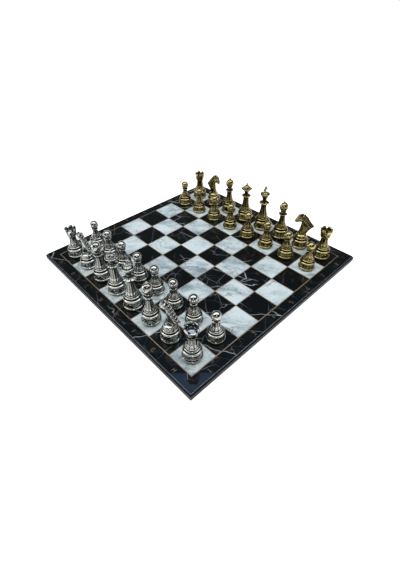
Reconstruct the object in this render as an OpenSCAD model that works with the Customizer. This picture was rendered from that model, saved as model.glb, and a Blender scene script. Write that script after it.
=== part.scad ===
// Chess set with board: thirty-two cast men standing on a marble-patterned board.
// Units are millimetres. Origin: centre of the board's resting face.
// +X runs from the a file to the h file, +Y from rank 1 to rank 8, +Z is up.

/* [Board] */
// Side of one playing square
square = 40; // [30:0.5:60]
// Plain border outside the playing field
border = 18; // [12:0.5:30]
// Thickness of the wood-fibre core
core_thickness = 8.4; // [6:0.1:16]
// Thickness of the marble-patterned top sheet
sheet_thickness = 0.9; // [0.6:0.1:2]
// Depth of the light squares and gold lines let into the top sheet
inlay_depth = 0.4; // [0.2:0.05:0.6]
// Width of the thin gold lines
line_width = 1.2; // [0.4:0.1:1.6]
// Width of the bevel that runs round the top edge
edge_bevel = 1.7; // [0.5:0.1:4]
// Thickness of the balancing sheet under the core
base_sheet_thickness = 0.5; // [0.3:0.1:1]

/* [Feet] */
// Diameter of a foot pad
foot_diameter = 16; // [8:1:30]
// Height of a foot pad
foot_height = 1.6; // [1:0.1:5]
// Distance of a foot pad from the board's outer edges
foot_inset = 24; // [12:1:60]

/* [Men] */
// Base radius of a pawn
pawn_radius = 12.6; // [9:0.1:14]
// Height of a pawn
pawn_height = 45.5; // [35:0.5:60]
// Base radius of a rook
rook_radius = 13.3; // [10:0.1:17]
// Height of a rook
rook_height = 51; // [40:0.5:70]
// Base radius of a knight
knight_radius = 13.4; // [10:0.1:17]
// Height of a knight
knight_height = 60.5; // [45:0.5:75]
// Base radius of a bishop
bishop_radius = 13.5; // [10:0.1:17]
// Height of a bishop
bishop_height = 67; // [50:0.5:85]
// Base radius of a queen
queen_radius = 14.1; // [10:0.1:17]
// Height of a queen
queen_height = 71; // [55:0.5:90]
// Base radius of a king
king_radius = 14.7; // [11:0.1:18]
// Height of a king
king_height = 78; // [60:0.5:95]
// Thickness of the felt under each man
felt_thickness = 1; // [0.5:0.1:2]
// How far the felt stays inside the base
felt_margin = 1.2; // [0.5:0.1:3]
// Clear gap between felt and board, so that the two never overlap
rest_gap = 0.1; // [0.05:0.05:0.3]

/* [Turns] */
// Turn of every bishop, zero points its slot at the h file
bishop_turn = 225; // [0:1:359]
// Turn of both silver knights, zero faces the h file
silver_knight_turn = 188; // [0:1:359]
// Turn of the gold knight on b8
gold_knight_turn_b = 0; // [0:1:359]
// Turn of the gold knight on g8
gold_knight_turn_g = 225; // [0:1:359]

/* [Show] */
// Which piece to draw

/* [Hidden] */
$fn = 64;
silver_tone = [0.72, 0.72, 0.69];
gold_tone = [0.74, 0.60, 0.30];
felt_tone = [0.10, 0.22, 0.16];
dark_tone = [0.06, 0.07, 0.09];
light_tone = [0.78, 0.82, 0.84];
line_tone = [0.62, 0.52, 0.34];
fibre_tone = [0.12, 0.11, 0.10];
field = 8 * square;
board_side = field + 2 * border;
core_bottom = foot_height + base_sheet_thickness;
core_top = core_bottom + core_thickness;
board_top = core_top + sheet_thickness;
sheet_side = board_side - 2 * edge_bevel;
foot_place = board_side / 2 - foot_inset;
casting_rest = board_top + rest_gap + felt_thickness;
shaft_share = 0.64;
light_side = square - line_width;

// Moves a man onto the middle of a square, counted from a1 = (1, 1).
module on_square(file, rank, turn)
  translate([(file - 4.5) * square, (rank - 4.5) * square, casting_rest])
    rotate([0, 0, turn])
      children();

// A ring with a round section, centred on the man's axis.
module bead(ring_radius, thickness, height)
  translate([0, 0, height])
    rotate_extrude()
      translate([ring_radius - thickness, 0])
        circle(r = thickness);

// ---------- board ----------

module light_square_prisms(extra)
  for (file = [1 : 8])
    for (rank = [1 : 8])
      if ((file + rank) % 2 == 1)
        translate([(file - 4.5) * square, (rank - 4.5) * square, board_top - inlay_depth / 2 + extra / 2])
          cube([light_side, light_side, inlay_depth + extra], center = true);

module line_grid(extra)
  for (step = [-4 : 4]) {
    translate([step * square, 0, board_top - inlay_depth / 2 + extra / 2])
      cube([line_width, field + line_width, inlay_depth + extra], center = true);
    translate([0, step * square, board_top - inlay_depth / 2 + extra / 2])
      cube([field + line_width, line_width, inlay_depth + extra], center = true);
  }

// Side view of the core: a small undercut below, straight sides, a bevel up to the top sheet.
module core_side_view() {
  outer = board_side / 2;
  undercut = 0.8;
  top = sheet_side / 2;
  bevel_start = core_top - edge_bevel * 0.75;
  polygon([
    [undercut - outer, core_bottom], [outer - undercut, core_bottom],
    [outer, core_bottom + undercut], [outer, bevel_start],
    [top, core_top], [-top, core_top],
    [-outer, bevel_start], [-outer, core_bottom + undercut]
  ]);
}

module core_panel()
  intersection_for (turn = [0, 90])
    rotate([90, 0, turn])
      linear_extrude(height = board_side + 2, center = true)
        core_side_view();

module board_core() color(fibre_tone) core_panel();

module marble_sheet() color(dark_tone)
  difference() {
    translate([0, 0, core_top + sheet_thickness / 2])
      cube([sheet_side, sheet_side, sheet_thickness], center = true);
    light_square_prisms(1);
    line_grid(1);
  }

module light_squares() color(light_tone) light_square_prisms(0);

module gold_lines() color(line_tone) line_grid(0);

module base_sheet() color(fibre_tone)
  translate([0, 0, foot_height + base_sheet_thickness / 2])
    cube([board_side - 4, board_side - 4, base_sheet_thickness], center = true);

module foot_pads() color(dark_tone)
  for (x = [-foot_place, foot_place])
    for (y = [-foot_place, foot_place])
      translate([x, y, 0])
        cylinder(h = foot_height, d = foot_diameter);

// ---------- men ----------

module felt_pad(radius)
  translate([0, 0, -felt_thickness])
    cylinder(h = felt_thickness, r = radius - felt_margin);

// Foot common to every man: lip with an undercut, drum, thick ring, groove, thin ring.
module foot(radius, height) {
  rotate_extrude()
    polygon([
      [0, 0], [radius * 0.90, 0], [radius * 0.93, 0.3], [radius, 1.8], [radius, 2.3],
      [radius * 0.96, 3.2], [radius * 0.90, 3.8], [radius * 0.88, 5.6], [radius * 0.86, height * 0.46],
      [radius * 0.84, height * 0.56], [radius * 0.84, height * 0.72], [radius * 0.71, height * 0.77],
      [radius * 0.71, height * 0.83], [radius * 0.66, height], [0, height]
    ]);
  bead(radius * 0.905, height * 0.08, height * 0.64);
  bead(radius * 0.765, height * 0.05, height * 0.90);
}

// Shaft that sweeps in from the foot: radius falls along a hollow curve.
module shaft(low_radius, top_radius, low, top) {
  steps = 8;
  rotate_extrude()
    polygon(concat(
      [[0, low - 1]],
      [[low_radius, low - 1]],
      [for (i = [0 : steps]) [
        top_radius + (low_radius - top_radius) * pow(1 - i / steps, 2.2),
        low + (top - low) * i / steps
      ]],
      [[0, top]]
    ));
}

// Collar of rounded petals.
module petal_collar(radius, height, petals) {
  size = radius * 0.30;
  translate([0, 0, height - size * 0.6])
    cylinder(h = size * 1.2, r = radius - size);
  for (i = [1 : petals])
    rotate([0, 0, i * 360 / petals])
      translate([radius - size, 0, height])
        sphere(r = size);
}

module pawn() {
  base = 17;
  head = 6.8;
  head_centre = pawn_height - head;
  felt_pad(pawn_radius);
  foot(pawn_radius, base);
  shaft(pawn_radius * shaft_share, 3.2, base, head_centre - head * 0.6);
  bead(4.3, 0.6, head_centre - head - 0.6);
  translate([0, 0, head_centre])
    sphere(r = head);
}

module rook() {
  base = 19;
  crown_low = 35.2;
  crown = 9.2;
  notches = 6;
  wall = rook_height - 4.9;
  foot(rook_radius, base);
  shaft(rook_radius * shaft_share, 5, base, crown_low);
  difference() {
    rotate_extrude()
      polygon([
        [0, crown_low - 1], [5, crown_low - 1], [6.9, crown_low + 1.2], [8.1, crown_low + 4],
        [crown, wall - 0.6], [crown, rook_height], [6.8, rook_height], [6.6, wall - 0.2],
        [3.6, wall - 1.9], [0, wall - 2.4]
      ]);
    for (i = [1 : notches])
      rotate([0, 0, i * 360 / notches])
        translate([5, -1.5, wall])
          cube([crown, 3, 6]);
    for (i = [1 : notches])
      rotate([0, 0, i * 360 / notches])
        translate([crown - 1.9, -1.4, crown_low + 6.8])
          cube([3, 2.8, wall - crown_low - 6.6]);
  }
}

module knight() {
  base = 19;
  rise = knight_height - base;
  foot(knight_radius, base);
  shaft(knight_radius * shaft_share, 6, base, base + 4);
  translate([0, 0, base])
    rotate([90, 0, 0])
      linear_extrude(height = 8, center = true)
        polygon([
          [-6, 0], [7, 0], [8.2, 2], [7.6, 5.5], [5.4, 11], [4.2, 17], [3.5, 24.6], [5.2, 27],
          [8.6, 26.6], [11.6, 25.8], [13.6, 26.4], [14.6, 28.4], [14.2, 31], [12.6, 34.6],
          [10.8, 38], [8.4, 40.4], [4.6, rise], [1.6, 40], [-2.2, 37.2], [-6.2, 32.4],
          [-9.8, 27.2], [-13.4, 22.4], [-17, 18.2], [-16, 15.4], [-12.4, 13], [-9.4, 9.4],
          [-7.4, 5]
        ]);
}

module bishop() {
  base = 20;
  collar = 43.2;
  ball = 7.1;
  ball_centre = 56;
  foot(bishop_radius, base);
  shaft(bishop_radius * shaft_share, 4.4, base, collar + 1);
  petal_collar(7.3, collar, 10);
  translate([0, 0, collar])
    cylinder(h = 8, r = 3.8);
  difference() {
    rotate_extrude()
      polygon([
        [0, ball_centre - 8.2], [3.6, ball_centre - 7.4], [6.2, ball_centre - 4], [ball, ball_centre],
        [6.5, ball_centre + 3.2], [4.4, ball_centre + 6.2], [2, ball_centre + 7.8], [0, ball_centre + 8.2]
      ]);
    translate([0, 0, ball_centre])
      rotate([0, -42, 0])
        translate([3.6, -10, -1.2])
          cube([20, 20, 2.4]);
  }
  translate([0, 0, ball_centre + 7])
    cylinder(h = 2.5, r = 1);
  translate([0, 0, bishop_height - 1.5])
    sphere(r = 1.5);
}

module queen() {
  base = 20;
  collar = 46.8;
  rim = 59.8;
  foot(queen_radius, base);
  shaft(queen_radius * shaft_share, 5, base, collar + 1);
  petal_collar(8.3, collar, 8);
  rotate_extrude()
    polygon([
      [0, collar], [4.4, collar], [3.5, collar + 5], [4.3, collar + 8], [7, rim - 1.6],
      [9.4, rim], [8.6, rim + 0.8], [7, rim + 0.5], [6, rim + 3], [3.2, rim + 5.9],
      [1.2, rim + 7.2], [0, rim + 7.2]
    ]);
  translate([0, 0, rim + 6.6])
    cylinder(h = 2.6, r = 1);
  translate([0, 0, queen_height - 1.5])
    sphere(r = 1.5);
}

module king() {
  base = 20.4;
  collar = 48.4;
  rim = 66;
  foot(king_radius, base);
  shaft(king_radius * shaft_share, 4.9, base, collar + 1);
  petal_collar(8.9, collar, 8);
  rotate_extrude()
    polygon([
      [0, collar], [4.6, collar], [3.6, collar + 5.4], [4.6, collar + 9.2], [5.8, rim - 5.4],
      [7.4, rim - 3.2], [8.1, rim - 1.2], [7.6, rim], [6.0, rim + 0.2], [3.4, rim + 1.4],
      [2.1, rim + 2.2], [0, rim + 2.2]
    ]);
  translate([-1.4, -1.3, rim + 1.6])
    cube([2.8, 2.6, king_height - rim - 1.6]);
  translate([-1.4, -3.9, king_height - 6.2])
    cube([2.8, 7.8, 3.2]);
}

module silver_rook_a1() color(silver_tone) on_square(1, 1, 0) rook();
module silver_knight_b1() color(silver_tone) on_square(2, 1, silver_knight_turn) knight();
module silver_bishop_c1() color(silver_tone) on_square(3, 1, bishop_turn) bishop();
module silver_queen_d1() color(silver_tone) on_square(4, 1, 0) queen();
module silver_king_e1() color(silver_tone) on_square(5, 1, 0) king();
module silver_bishop_f1() color(silver_tone) on_square(6, 1, bishop_turn) bishop();
module silver_knight_g1() color(silver_tone) on_square(7, 1, silver_knight_turn) knight();
module silver_rook_h1() color(silver_tone) on_square(8, 1, 0) rook();
module silver_pawn_a2() color(silver_tone) on_square(1, 2, 0) pawn();
module silver_pawn_b2() color(silver_tone) on_square(2, 2, 0) pawn();
module silver_pawn_c2() color(silver_tone) on_square(3, 2, 0) pawn();
module silver_pawn_d2() color(silver_tone) on_square(4, 2, 0) pawn();
module silver_pawn_e2() color(silver_tone) on_square(5, 2, 0) pawn();
module silver_pawn_f2() color(silver_tone) on_square(6, 2, 0) pawn();
module silver_pawn_g2() color(silver_tone) on_square(7, 2, 0) pawn();
module silver_pawn_h2() color(silver_tone) on_square(8, 2, 0) pawn();
module gold_rook_a8() color(gold_tone) on_square(1, 8, 0) rook();
module gold_knight_b8() color(gold_tone) on_square(2, 8, gold_knight_turn_b) knight();
module gold_bishop_c8() color(gold_tone) on_square(3, 8, bishop_turn) bishop();
module gold_queen_d8() color(gold_tone) on_square(4, 8, 0) queen();
module gold_king_e8() color(gold_tone) on_square(5, 8, 0) king();
module gold_bishop_f8() color(gold_tone) on_square(6, 8, bishop_turn) bishop();
module gold_knight_g8() color(gold_tone) on_square(7, 8, gold_knight_turn_g) knight();
module gold_rook_h8() color(gold_tone) on_square(8, 8, 0) rook();
module gold_pawn_a7() color(gold_tone) on_square(1, 7, 0) pawn();
module gold_pawn_b7() color(gold_tone) on_square(2, 7, 0) pawn();
module gold_pawn_c7() color(gold_tone) on_square(3, 7, 0) pawn();
module gold_pawn_d7() color(gold_tone) on_square(4, 7, 0) pawn();
module gold_pawn_e7() color(gold_tone) on_square(5, 7, 0) pawn();
module gold_pawn_f7() color(gold_tone) on_square(6, 7, 0) pawn();
module gold_pawn_g7() color(gold_tone) on_square(7, 7, 0) pawn();
module gold_pawn_h7() color(gold_tone) on_square(8, 7, 0) pawn();
module silver_rook_a1_felt() color(felt_tone) on_square(1, 1, 0) felt_pad(rook_radius);
module silver_knight_b1_felt() color(felt_tone) on_square(2, 1, 0) felt_pad(knight_radius);
module silver_bishop_c1_felt() color(felt_tone) on_square(3, 1, 0) felt_pad(bishop_radius);
module silver_queen_d1_felt() color(felt_tone) on_square(4, 1, 0) felt_pad(queen_radius);
module silver_king_e1_felt() color(felt_tone) on_square(5, 1, 0) felt_pad(king_radius);
module silver_bishop_f1_felt() color(felt_tone) on_square(6, 1, 0) felt_pad(bishop_radius);
module silver_knight_g1_felt() color(felt_tone) on_square(7, 1, 0) felt_pad(knight_radius);
module silver_rook_h1_felt() color(felt_tone) on_square(8, 1, 0) felt_pad(rook_radius);
module gold_rook_a8_felt() color(felt_tone) on_square(1, 8, 0) felt_pad(rook_radius);
module gold_knight_b8_felt() color(felt_tone) on_square(2, 8, 0) felt_pad(knight_radius);
module gold_bishop_c8_felt() color(felt_tone) on_square(3, 8, 0) felt_pad(bishop_radius);
module gold_queen_d8_felt() color(felt_tone) on_square(4, 8, 0) felt_pad(queen_radius);
module gold_king_e8_felt() color(felt_tone) on_square(5, 8, 0) felt_pad(king_radius);
module gold_bishop_f8_felt() color(felt_tone) on_square(6, 8, 0) felt_pad(bishop_radius);
module gold_knight_g8_felt() color(felt_tone) on_square(7, 8, 0) felt_pad(knight_radius);
module gold_rook_h8_felt() color(felt_tone) on_square(8, 8, 0) felt_pad(rook_radius);

board_core();
marble_sheet();
light_squares();
gold_lines();
base_sheet();
foot_pads();
silver_rook_a1();
silver_knight_b1();
silver_bishop_c1();
silver_queen_d1();
silver_king_e1();
silver_bishop_f1();
silver_knight_g1();
silver_rook_h1();
silver_pawn_a2();
silver_pawn_b2();
silver_pawn_c2();
silver_pawn_d2();
silver_pawn_e2();
silver_pawn_f2();
silver_pawn_g2();
silver_pawn_h2();
gold_rook_a8();
gold_knight_b8();
gold_bishop_c8();
gold_queen_d8();
gold_king_e8();
gold_bishop_f8();
gold_knight_g8();
gold_rook_h8();
gold_pawn_a7();
gold_pawn_b7();
gold_pawn_c7();
gold_pawn_d7();
gold_pawn_e7();
gold_pawn_f7();
gold_pawn_g7();
gold_pawn_h7();
silver_rook_a1_felt();
silver_knight_b1_felt();
silver_bishop_c1_felt();
silver_queen_d1_felt();
silver_king_e1_felt();
silver_bishop_f1_felt();
silver_knight_g1_felt();
silver_rook_h1_felt();
gold_rook_a8_felt();
gold_knight_b8_felt();
gold_bishop_c8_felt();
gold_queen_d8_felt();
gold_king_e8_felt();
gold_bishop_f8_felt();
gold_knight_g8_felt();
gold_rook_h8_felt();
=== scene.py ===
"""Looks for a chess set with its board: metal men with antiqued relief on a lacquered marble board.

Men are built in millimetres from turned outlines with relief, and scaled to metres when placed.
"""

import math

import bpy
import numpy as np
from mathutils import Matrix, Vector


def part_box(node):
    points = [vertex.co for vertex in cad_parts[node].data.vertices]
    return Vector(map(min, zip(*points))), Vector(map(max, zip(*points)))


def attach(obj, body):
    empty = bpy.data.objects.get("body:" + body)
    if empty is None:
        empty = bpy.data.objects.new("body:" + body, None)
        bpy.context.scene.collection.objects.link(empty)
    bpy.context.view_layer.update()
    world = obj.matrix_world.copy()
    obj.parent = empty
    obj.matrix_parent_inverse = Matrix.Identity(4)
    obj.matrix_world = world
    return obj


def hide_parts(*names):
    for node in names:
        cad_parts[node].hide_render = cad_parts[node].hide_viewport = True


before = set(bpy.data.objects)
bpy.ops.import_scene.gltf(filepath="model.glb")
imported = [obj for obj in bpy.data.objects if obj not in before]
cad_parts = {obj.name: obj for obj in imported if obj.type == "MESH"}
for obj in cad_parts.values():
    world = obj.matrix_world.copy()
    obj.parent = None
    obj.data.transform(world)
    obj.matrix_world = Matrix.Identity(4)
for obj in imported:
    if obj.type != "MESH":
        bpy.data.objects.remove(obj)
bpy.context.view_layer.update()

MM = 0.001
SQUARE = 40.0
BORDER = 18.0
FILES = "abcdefgh"
BOARD_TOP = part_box("marble_sheet")[1].z / MM
CASTING_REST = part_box("silver_rook_a1")[0].z / MM

# ---------------------------------------------------------------- node materials


class Look:
    """A material under construction; each call adds one node and links what it is given."""

    def __init__(self, name):
        self.material = bpy.data.materials.new(name)
        self.material.use_nodes = True
        self.tree = self.material.node_tree
        self.shader = self.tree.nodes["Principled BSDF"]

    def put(self, socket, value):
        if isinstance(value, bpy.types.NodeSocket):
            self.tree.links.new(value, socket)
        else:
            socket.default_value = value

    def node(self, kind, inputs=(), out=0, **settings):
        made = self.tree.nodes.new(kind)
        for key, value in settings.items():
            setattr(made, key, value)
        for key, value in dict(inputs).items():
            self.put(made.inputs[key], value)
        return made.outputs[out]

    def math(self, operation, a, b=0.0, clamp=False):
        return self.node("ShaderNodeMath", {0: a, 1: b}, operation=operation, use_clamp=clamp)

    def position(self, scale):
        place = self.node("ShaderNodeTexCoord", out="Object")
        return self.node("ShaderNodeVectorMath", {0: place, "Scale": scale}, operation="SCALE")

    def noise(self, place, scale, detail=3.0, rough=0.5, out=0):
        return self.node(
            "ShaderNodeTexNoise",
            {"Vector": place, "Scale": scale, "Detail": detail, "Roughness": rough},
            out=out,
        )

    def ramp(self, value, stops):
        made = self.tree.nodes.new("ShaderNodeValToRGB")
        ramp = made.color_ramp
        while len(ramp.elements) < len(stops):
            ramp.elements.new(0.5)
        for element, (place, colour) in zip(ramp.elements, stops):
            element.position = place
            grey = (colour,) * 3 if isinstance(colour, (int, float)) else tuple(colour)
            element.color = (*grey, 1.0)
        self.put(made.inputs[0], value)
        return made.outputs[0]

    def blend(self, share, first, second):
        made = self.tree.nodes.new("ShaderNodeMix")
        made.data_type = "RGBA"
        self.put(made.inputs["Factor"], share)
        for key, value in ((6, first), (7, second)):
            if not isinstance(value, bpy.types.NodeSocket):
                value = (*value, 1.0)
            self.put(made.inputs[key], value)
        return made.outputs[2]

    def shade(self, **inputs):
        for key, value in inputs.items():
            if isinstance(value, tuple) and len(value) == 3:
                value = (*value, 1.0)
            self.put(self.shader.inputs[key.replace("_", " ")], value)

    def bump(self, height, strength, distance):
        self.shade(
            Normal=self.node(
                "ShaderNodeBump", {"Height": height, "Strength": strength, "Distance": distance}
            )
        )


def cracks(look, place, scale, width):
    """Thin, nearly straight veins that meet at angles, as along cracks in the stone."""
    edges = look.node(
        "ShaderNodeTexVoronoi", {"Vector": place, "Scale": scale}, feature="DISTANCE_TO_EDGE"
    )
    return look.ramp(edges, [(0.0, 1.0), (width * 0.4, 0.7), (width, 0.0)])


def streaks(look, place, scale, width, detail=5.0):
    """Wandering veins where a noise field crosses its middle value."""
    field = look.noise(place, scale, detail, 0.6)
    away = look.math("ABSOLUTE", look.math("SUBTRACT", field, 0.5))
    return look.ramp(away, [(0.0, 1.0), (width * 0.3, 0.6), (width, 0.0)])


def patches(look, place, scale, low, high):
    return look.ramp(look.noise(place, scale, 2.0), [(low, 0.0), (high, 1.0)])


def broken(look, lines, place, scale, low, high):
    """Lines that fade out between patches of a coarse noise."""
    return look.math("MULTIPLY", lines, patches(look, place, scale, low, high))


def bent_place(look, scale, amount, squeeze=(1.0, 1.0, 1.0)):
    """Position on the stone, pushed about so that veins don't run straight."""
    place = look.position(1.0)
    warp = look.noise(place, scale, 4.0, 0.6, out=1)
    centred = look.node("ShaderNodeVectorMath", {0: warp, 1: (0.5, 0.5, 0.5)}, operation="SUBTRACT")
    push = look.node("ShaderNodeVectorMath", {0: centred, "Scale": amount}, operation="SCALE")
    bent = look.node("ShaderNodeVectorMath", {0: place, 1: push}, operation="ADD")
    turned_place = look.node(
        "ShaderNodeVectorRotate", {"Vector": bent, "Angle": 0.9}, rotation_type="Z_AXIS"
    )
    return look.node("ShaderNodeVectorMath", {0: turned_place, 1: squeeze}, operation="MULTIPLY")


def gloss(look, place):
    """Clear lacquer over the sheet, very slightly uneven."""
    look.shade(Coat_Weight=0.45, Coat_Roughness=0.03, Coat_IOR=1.5, Specular_IOR_Level=0.08)
    look.bump(look.noise(place, 70.0, 2.0), 0.04, 0.0004)


def dark_marble():
    look = Look("dark_marble_lacquered")
    place = look.position(1.0)
    long_way = bent_place(look, 22.0, 0.012, (1.0, 0.42, 1.0))
    other_way = bent_place(look, 30.0, 0.010, (0.5, 1.0, 1.0))
    main = broken(look, cracks(look, long_way, 21.0, 0.0068), place, 17.0, 0.51, 0.60)
    thin = broken(look, cracks(look, other_way, 36.0, 0.0085), place, 25.0, 0.45, 0.58)
    hair = broken(look, cracks(look, long_way, 58.0, 0.011), place, 34.0, 0.50, 0.62)
    smoke = broken(look, patches(look, long_way, 46.0, 0.52, 0.75), place, 19.0, 0.52, 0.66)
    base = look.blend(
        look.math("MULTIPLY", smoke, 0.42), (0.0014, 0.0027, 0.0030), (0.018, 0.024, 0.026)
    )
    lines = look.math("MAXIMUM", look.math("MULTIPLY", main, 0.85), look.math("MULTIPLY", thin, 0.36))
    lines = look.math("MAXIMUM", lines, look.math("MULTIPLY", hair, 0.20))
    look.shade(Base_Color=look.blend(lines, base, (0.56, 0.61, 0.63)), Roughness=0.34)
    gloss(look, place)
    return look.material


def light_marble():
    look = Look("light_marble_lacquered")
    place = look.position(1.0)
    drawn = bent_place(look, 24.0, 0.03, (1.0, 0.42, 1.0))
    cloud = look.ramp(look.noise(drawn, 42.0, 8.0, 0.72), [(0.42, 0.0), (0.51, 0.25), (0.66, 1.0)])
    base = look.blend(cloud, (0.70, 0.785, 0.775), (0.23, 0.30, 0.325))
    main = broken(look, streaks(look, drawn, 20.0, 0.016), place, 24.0, 0.46, 0.60)
    thin = broken(look, streaks(look, drawn, 50.0, 0.020), place, 31.0, 0.48, 0.62)
    lines = look.math("MAXIMUM", look.math("MULTIPLY", main, 0.85), look.math("MULTIPLY", thin, 0.58))
    look.shade(Base_Color=look.blend(lines, base, (0.10, 0.13, 0.15)), Roughness=0.34)
    gloss(look, place)
    return look.material


def metal(name, pit, low, middle, high, tint_noise):
    """Cast metal: dark in its hollows, rubbed bright on its high places."""
    look = Look(name)
    place = look.position(1.0)
    wear = look.node("ShaderNodeAttribute", out="Fac", attribute_name="wear")
    patch = look.noise(place, 420.0, 4.0, 0.6)
    worn = look.math(
        "ADD", wear, look.math("MULTIPLY", look.math("SUBTRACT", patch, 0.5), tint_noise), clamp=True
    )
    look.shade(
        Base_Color=look.ramp(worn, [(0.10, pit), (0.28, low), (0.42, middle), (0.62, high)]),
        Metallic=1.0,
        Roughness=look.ramp(worn, [(0.10, 0.50), (0.30, 0.20), (0.50, 0.085)]),
    )
    look.bump(look.noise(place, 900.0, 5.0, 0.6), 0.10, 0.00010)
    return look.material


def lacquer(name, colour, roughness, speck, coat):
    look = Look(name)
    place = look.position(1.0)
    mottled = look.ramp(look.noise(place, 240.0, 5.0, 0.65), [(0.35, 0.0), (0.75, 1.0)])
    look.shade(
        Base_Color=look.blend(mottled, colour, speck),
        Roughness=look.ramp(look.noise(place, 120.0, 3.0), [(0.3, roughness), (0.8, roughness + 0.12)]),
        Specular_IOR_Level=0.10,
        Coat_Weight=coat,
        Coat_Roughness=0.10,
    )
    look.bump(look.noise(place, 500.0, 3.0), 0.08, 0.0003)
    return look.material


def cloth(name, dark, pale):
    look = Look(name)
    place = look.position(1.0)
    hairs = look.noise(place, 2600.0, 6.0, 0.75)
    look.shade(
        Base_Color=look.ramp(hairs, [(0.34, dark), (0.66, pale)]),
        Roughness=0.95,
        Sheen_Weight=0.35,
        Sheen_Roughness=0.5,
    )
    look.bump(hairs, 0.6, 0.0003)
    return look.material


def rubber(name, dark, pale, scale):
    look = Look(name)
    grain = look.noise(look.position(1.0), scale, 4.0, 0.6)
    look.shade(
        Base_Color=look.ramp(grain, [(0.3, dark), (0.75, pale)]),
        Roughness=look.ramp(grain, [(0.3, 0.55), (0.8, 0.75)]),
    )
    look.bump(grain, 0.25, 0.0003)
    return look.material


def inlay(name):
    """Dull gold printed line under the lacquer, with a little fading along it."""
    look = Look(name)
    place = look.position(1.0)
    fade = look.noise(place, 130.0, 4.0, 0.6)
    look.shade(
        Base_Color=look.ramp(fade, [(0.28, (0.16, 0.115, 0.065)), (0.66, (0.42, 0.32, 0.19))]),
        Metallic=0.35,
        Roughness=look.ramp(fade, [(0.3, 0.42), (0.7, 0.28)]),
        Coat_Weight=1.0,
        Coat_Roughness=0.035,
    )
    look.bump(look.noise(place, 90.0, 2.0), 0.05, 0.0004)
    return look.material


looks = {
    "dark_marble": dark_marble(),
    "light_marble": light_marble(),
    "gold_line": inlay("gold_line_inlay"),
    "black_edge": lacquer("black_edge_lacquer", (0.004, 0.005, 0.006), 0.36, (0.011, 0.013, 0.015), 0.0),
    # the arris is lighter grey than the edge as a painted highlight; its clear coat adds a real
    # reflection on top
    "arris": lacquer("arris_lacquer_painted_highlight", (0.10, 0.12, 0.14), 0.30, (0.20, 0.23, 0.26), 1.0),
    "backing": rubber("backing_board", (0.030, 0.026, 0.022), (0.085, 0.074, 0.060), 700.0),
    "foot_rubber": rubber("foot_rubber_black", (0.012, 0.012, 0.013), (0.035, 0.035, 0.037), 1500.0),
    "antique_silver": metal(
        "antique_silver_cast", (0.012, 0.012, 0.011), (0.036, 0.037, 0.034), (0.108, 0.110, 0.102),
        (0.52, 0.53, 0.49), 0.10,
    ),
    "antique_gold": metal(
        "antique_gold_cast", (0.008, 0.006, 0.002), (0.021, 0.016, 0.006), (0.064, 0.049, 0.017),
        (0.44, 0.365, 0.155), 0.12,
    ),
    "felt": cloth("green_black_felt", (0.012, 0.016, 0.014), (0.060, 0.072, 0.064)),
}

# ---------------------------------------------------------------- shapes in millimetres


def chaikin(points, times, closed=False):
    """Corner cutting, which rounds an outline and whatever else its rows carry."""
    p = np.array(points, float)
    for _ in range(times):
        a = p
        b = np.roll(p, -1, axis=0) if closed else p[1:]
        a = a if closed else p[:-1]
        cut = np.stack([a * 0.75 + b * 0.25, a * 0.25 + b * 0.75], 1).reshape(-1, p.shape[1])
        p = cut if closed else np.vstack([p[:1], cut, p[-1:]])
    return p


def evenly(rows, step):
    """Rows spaced evenly along the outline."""
    run = np.concatenate([[0], np.cumsum(np.linalg.norm(np.diff(rows[:, :2], axis=0), axis=1))])
    t = np.linspace(0, run[-1], max(8, round(run[-1] / step)))
    return np.stack([np.interp(t, run, rows[:, k]) for k in range(rows.shape[1])], 1)


def ease(x):
    x = np.clip(x, 0, 1)
    return x * x * (3 - 2 * x)


def across(theta, count, shift=0.0):
    """Place across the nearest of count repeats round the axis: 0 at its middle, 1 at its sides."""
    u = theta * count / math.tau + shift
    return 2 * (u - np.round(u))


def turned(control, relief, lobes=None, ring=144, step=0.42, rounding=2):
    """A closed turned body. Rows are radius, height, extra radius and extra height at a lobe."""
    rows = [(*row, 0, 0)[:4] for row in control]
    r, z, lobe_r, lobe_z = evenly(chaikin(rows, rounding), step).T[:, :, None]
    theta = (np.arange(ring) * math.tau / ring)[None, :]
    rise_r, rise_z = np.gradient(r[:, 0])[:, None], np.gradient(z[:, 0])[:, None]
    size = np.hypot(rise_r, rise_z) + 1e-9
    lobe = lobes(theta) if lobes else np.zeros_like(theta)
    radius = r + lobe_r * lobe
    height = z + lobe_z * lobe
    push = relief(theta, radius, height)
    radius = np.maximum(radius + push * rise_z / size, 0)
    height = height - push * rise_r / size
    points = np.stack([radius * np.cos(theta), radius * np.sin(theta), height], -1)
    body = points[1:-1].reshape(-1, 3)
    ends = np.array([[0, 0, z[0, 0]], [0, 0, z[-1, 0]]])
    count = len(points) - 2
    index = np.arange(count * ring).reshape(count, ring)
    beside = np.roll(index, -1, axis=1)
    quads = np.stack([index[:-1], beside[:-1], beside[1:], index[1:]], -1).reshape(-1, 4)
    low, high = count * ring, count * ring + 1
    fan_low = np.stack([beside[0], index[0], np.full(ring, low)], -1)
    fan_high = np.stack([index[-1], beside[-1], np.full(ring, high)], -1)
    return np.vstack([body, ends]), [*quads.tolist(), *fan_low.tolist(), *fan_high.tolist()]


def outline_distance(outline, x, y):
    """Distance inside a closed outline: positive inside it, negative outside."""
    a = np.array(outline, float)
    b = np.roll(a, -1, axis=0)
    best = np.full(x.shape, 1e9)
    inside = np.zeros(x.shape, bool)
    for (ax, ay), (bx, by) in zip(a, b):
        dx, dy = bx - ax, by - ay
        t = np.clip(((x - ax) * dx + (y - ay) * dy) / (dx * dx + dy * dy + 1e-12), 0, 1)
        best = np.minimum(best, np.hypot(x - ax - t * dx, y - ay - t * dy))
        if abs(dy) > 1e-12:
            crossing = ((ay > y) != (by > y)) & (x < (y - ay) * dx / dy + ax)
            inside ^= crossing
    return np.where(inside, best, -best)


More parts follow.
